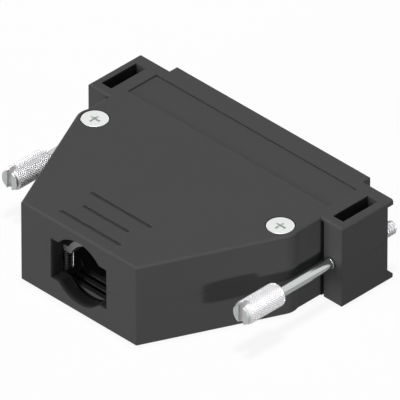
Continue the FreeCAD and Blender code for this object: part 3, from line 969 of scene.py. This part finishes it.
@dataclass
class Jackscrew:
    """A captive jackscrew: slotted and knurled head, plain shank, clip groove, threaded tip."""

    side: Side
    knurl_radius: float = 2.4 * MM
    knurl_length: float = 9.16 * MM
    knurl_count: int = 27
    knurl_depth: float = 0.16 * MM
    knurl_bevel: float = 0.4 * MM
    bevel_slope: float = 0.9
    core_gap: float = 0.32 * MM
    diamond_length: float = 0.58 * MM
    crest_share: float = 0.24
    boss_radius: float = 2.0 * MM
    boss_length: float = 0.55 * MM
    slot_width: float = 1.15 * MM
    slot_depth: float = 2.0 * MM
    inner_gap: float = 0.02 * MM
    neck_radius: float = 1.14 * MM
    neck_length: float = 13.5 * MM
    collar_radius: float = 1.21 * MM
    collar_length: float = 0.5 * MM
    shank_radius: float = 1.15 * MM
    groove_radius: float = 0.8 * MM
    thread_radius: float = 1.4225 * MM
    thread_pitch: float = 0.635 * MM
    thread_length: float = 4.1 * MM
    lead_in: float = 0.4 * MM
    edge: float = 0.06 * MM
    flare: float = 0.12 * MM
    flare_length: float = 0.1 * MM
    step: float = 0.02 * MM
    stub_share: float = 0.7
    clip_play: float = 0.04 * MM

    @property
    def node(self) -> str:
        """Gives the node's name."""
        return f"jackscrew_{self.side.label}"

    def knurl(self, work: bmesh.types.BMesh, low: float, high: float) -> None:
        """Adds the diamond knurl as a lattice of small blunt pyramids, with bevelled ends.

        Args:
            work: The mesh that takes the faces.
            low: The knurl's lower end.
            high: Its upper end.
        """
        rows = round((high - low) / self.diamond_length) * 2
        rise = (high - low) / rows
        columns = self.knurl_count * 2
        around = ((1, 0), (0, 1), (-1, 0), (0, -1))

        def point(column: float, row: float, proud: float) -> bmesh.types.BMVert:
            """Adds a point of the lattice.

            Args:
                column: Its place round the axis, in half diamonds.
                row: Its place along the axis, in half diamonds.
                proud: 0 in a valley and 1 on a crest.

            Returns:
                The point.
            """
            level = low + rise * min(max(row, 0), rows)
            room = min(level - low, high - level)
            radius = self.knurl_radius - self.knurl_depth * (1.0 - proud)
            if room < self.knurl_bevel:
                radius = min(radius, self.knurl_radius - (self.knurl_bevel - room) * self.bevel_slope)
            return polar(work, radius, FULL_TURN * column / columns, level)

        blunt = self.crest_share
        for column in range(columns):
            for row in range(rows + 1):
                if (column + row) % 2:
                    continue
                valley = [point(column + x, row + y, 0.0) for x, y in around]
                crest = [point(column + x * blunt, row + y * blunt, 1.0) for x, y in around]
                work.faces.new(crest)
                bridge(work, valley, crest)

    def build(self) -> bpy.types.Object:
        """Builds the jackscrew along Z, its head's face at z = 0 and its tip up.

        Returns:
            The jackscrew.
        """
        low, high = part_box(self.node)
        length = high.y - low.y
        core_piece = self.build_core(low.y, length)
        bands = bmesh.new()
        self.knurl(bands, self.boss_length, self.boss_length + self.knurl_length)
        bmesh.ops.remove_doubles(bands, verts=bands.verts, dist=WELD)
        bmesh.ops.dissolve_degenerate(bands, edges=bands.edges, dist=WELD)
        bmesh.ops.recalc_face_normals(bands, faces=bands.faces)
        close_rims(bands)
        knurled = finish_mesh("knurl", bands)
        tip = bmesh.new()
        start = length - self.thread_length - self.edge
        Thread(self.thread_radius, self.thread_pitch, start, length, self.lead_in).cut(tip)
        carve(knurled, self.slot(0.0))
        carve(core_piece, self.slot(self.inner_gap))
        merge(core_piece, knurled, finish_mesh("tip", tip))
        return core_piece

    def build_core(self, start: float, length: float) -> bpy.types.Object:
        """Builds all that is plain and round: boss, core of the head, neck, collar, shank and groove.

        Args:
            start: Where the screw starts along the hood's Y axis, in metres.
            length: The screw's length.

        Returns:
            The core, with its head's face at z = 0.
        """
        clip_low, clip_high = (corner.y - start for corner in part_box(f"retaining_clip_{self.side.label}"))
        groove_low, groove_high = clip_low - self.clip_play, clip_high + self.clip_play
        knurl_low = self.boss_length
        knurl_high = knurl_low + self.knurl_length
        collar_low = knurl_high + self.neck_length
        collar_high = collar_low + self.collar_length
        thread_low = length - self.thread_length
        edge, inner = self.edge, self.knurl_radius - self.knurl_depth - self.core_gap
        stem = bmesh.new()
        turn_profile(stem, [
            (0.0, 0.0),
            (self.boss_radius - edge * 2, 0.0),
            *rounded_corner((self.boss_radius - edge, edge), edge, -80, 0, 3),
            (self.boss_radius, knurl_low - edge),
            (self.boss_radius, knurl_low + self.step),
            (inner, knurl_low + self.step * 2),
            (inner, knurl_high - self.step * 2),
            (inner - edge, knurl_high - self.step),
            (self.neck_radius + self.flare, knurl_high - self.step),
            (self.neck_radius, knurl_high + self.flare_length),
            (self.neck_radius, collar_low),
            (self.collar_radius - edge, collar_low),
            (self.collar_radius, collar_low + edge),
            (self.collar_radius, collar_high - edge),
            (self.collar_radius - edge, collar_high),
            (self.shank_radius, collar_high),
            (self.shank_radius, groove_low),
            (self.groove_radius, groove_low),
            (self.groove_radius, groove_high),
            (self.shank_radius, groove_high),
            (self.shank_radius, thread_low - self.step),
            (self.thread_radius * self.stub_share, thread_low),
            (0.0, thread_low),
        ])
        return finish_mesh(f"{self.node}_detail", stem)

    def slot(self, extra: float) -> bpy.types.Object:
        """Builds the cutter for the screwdriver slot.

        Args:
            extra: How much wider and deeper it is, so that inner walls don't meet outer ones.

        Returns:
            The cutter.
        """
        work = bmesh.new()
        bmesh.ops.create_cube(work, size=1.0)
        depth = self.slot_depth + extra
        scale = (self.slot_width + extra * 2, self.knurl_radius * 4, depth + self.slot_depth / 2)
        for vertex in work.verts:
            vertex.co = Vector(a * b for a, b in zip(vertex.co, scale))
            vertex.co.z += depth - scale[2] / 2
        return link_mesh("slot", work)

    def dress(self, material: bpy.types.Material) -> None:
        """Builds the jackscrew and puts it in place of its node.

        Args:
            material: The plated steel.
        """
        low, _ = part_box(self.node)
        middle = centre_of(self.node)
        place = Matrix.Translation((middle.x, low.y, middle.z)) @ Matrix.Rotation(-math.pi / 2, 4, "X")
        settle(self.build(), place, self.node, material, self.node)


@dataclass
class SheetParts:
    """The pressed steel pieces, which keep their own solids: the clamp strap and the clips."""

    def dress(self, strap: bpy.types.Material, clip: bpy.types.Material) -> None:
        """Gives the strap and the clips their finish.

        Args:
            strap: The strap's plated steel, darkened as painted shade.
            clip: The clips' spring steel.
        """
        paint("clamp_strap", strap)
        for side in Side:
            paint(f"retaining_clip_{side.label}", clip)


@dataclass(frozen=True)
class Lamp:
    """A distant lamp, with the direction in which it stands and its width in degrees."""

    name: str
    away: tuple
    strength: float
    spread: float

    def hang(self) -> None:
        """Hangs the lamp."""
        light = bpy.data.lights.new(f"{self.name}_lamp", "SUN")
        light.energy = self.strength
        light.angle = math.radians(self.spread)
        holder = bpy.data.objects.new(f"{self.name}_lamp", light)
        holder.rotation_euler = Vector(self.away).to_track_quat("Z", "Y").to_euler()
        bpy.context.scene.collection.objects.link(holder)


@dataclass
class Studio:
    """The floor, the lamps along the hood's axes, and the camera with its very long lens.

    The left and back lamps light only sides that the photograph doesn't show.
    """

    azimuth: float = 45.0
    elevation: float = math.degrees(math.atan(1 / math.sqrt(2)))
    looks_at: tuple = (-0.843 * MM, -15.11 * MM, 0.0)
    frame_width: float = 74.72 * MM
    lens: float = 1600.0
    sensor: float = 36.0
    ambient: float = 0.04
    floor_reach: float = 3.0
    floor_gap: float = 0.02 * MM
    lamps: tuple[Lamp, ...] = (
        Lamp("front", (-0.06, -1.0, 0.0), 5.1, 36.0),
        Lamp("top", (0.0, 0.0, 1.0), 2.3, 12.0),
        Lamp("side", (1.0, 0.0, 0.0), 2.5, 9.0),
        Lamp("left", (-1.0, 0.0, 0.0), 1.5, 20.0),
        Lamp("back", (0.0, 1.0, 0.0), 1.5, 20.0),
    )

    def build(self) -> None:
        """Builds the studio."""
        self.lay_floor()
        self.light_world()
        for lamp in self.lamps:
            lamp.hang()
        self.set_camera()

    def lay_floor(self) -> None:
        """Lays the floor just under the hood."""
        low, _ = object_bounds()
        work = bmesh.new()
        bmesh.ops.create_grid(work, x_segments=8, y_segments=8, size=self.floor_reach)
        floor = link_mesh("floor", work)
        floor.data.materials.append(PaleFloor().make())
        floor.location = (0.0, 0.0, low.z - self.floor_gap)
        floor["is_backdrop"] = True

    def light_world(self) -> None:
        """Makes the room white to the camera and in metal, and dim as a light."""
        world = bpy.data.worlds.new("studio")
        world.use_nodes = True
        bpy.context.scene.world = world
        craft = NodeCraft(world.node_tree)
        seen = craft.rays("Is Camera Ray", "Is Glossy Ray", "Is Transmission Ray")
        strength = seen * (1.0 - self.ambient) + self.ambient
        room = craft.add("ShaderNodeBackground", None, {"Color": WHITE, "Strength": strength})
        craft.add("ShaderNodeOutputWorld", None, {"Surface": room.outputs[0]})

    def set_camera(self) -> None:
        """Aims the camera as the photograph's, which shows no perspective."""
        turn, lift = math.radians(self.azimuth), math.radians(self.elevation)
        back = Vector((math.sin(turn) * math.cos(lift), -math.cos(turn) * math.cos(lift), math.sin(lift)))
        data = bpy.data.cameras.new("camera")
        data.lens, data.sensor_width = self.lens, self.sensor
        distance = self.frame_width * self.lens / self.sensor
        data.clip_start, data.clip_end = 0.1, distance * 2
        camera = bpy.data.objects.new("camera", data)
        camera.location = Vector(self.looks_at) + back * distance
        camera.rotation_mode = "QUATERNION"
        camera.rotation_quaternion = (-back).to_track_quat("-Z", "Y")
        bpy.context.scene.collection.objects.link(camera)
        bpy.context.scene.camera = camera


def main() -> None:
    """Builds and dresses every piece, then the studio round them."""
    logging.basicConfig(level=logging.INFO, format="%(name)s: %(message)s")
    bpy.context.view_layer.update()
    plastic = MouldedPlastic().make()
    zinc = PlatedSteel("zinc_steel", (0.76, 0.78, 0.765), (0.62, 0.64, 0.63), 0.32).make()
    # Painted shade: the clamp screws are zinc plated, darkened here to the shade inside the hood.
    clamp = PlatedSteel("clamp_steel", (0.24, 0.24, 0.25), (0.17, 0.17, 0.18), 0.30).make()
    # Painted shade: the strap is zinc plated, darkened here to the shade inside the hood.
    strap = PlatedSteel("strap_steel", (0.26, 0.265, 0.26), (0.20, 0.205, 0.20), 0.48).make()
    spring = PlatedSteel("spring_steel", (0.50, 0.50, 0.51), (0.36, 0.36, 0.37), 0.40).make()
    nickel = ScrewNickel("nickel_steel", (0.60, 0.63, 0.615), (0.50, 0.53, 0.515), 0.20,
                         across=(1.0, 6.0, 1.0)).make()
    Shells().dress(plastic)
    SheetParts().dress(strap, spring)
    for side in Side:
        CornerWeb(side).dress(plastic)
        CountersunkScrew(f"shell_screw_{side.label}", "hood", True).dress(zinc)
        CountersunkScrew(f"clamp_screw_{side.label}", f"clamp_screw_{side.label}", False).dress(clamp)
        HexagonNut(f"shell_nut_{side.label}").dress(zinc)
        Jackscrew(side).dress(nickel)
    Studio().build()
    bpy.context.scene.view_settings.view_transform = "Standard"


if __name__ == "__main__":
    main()
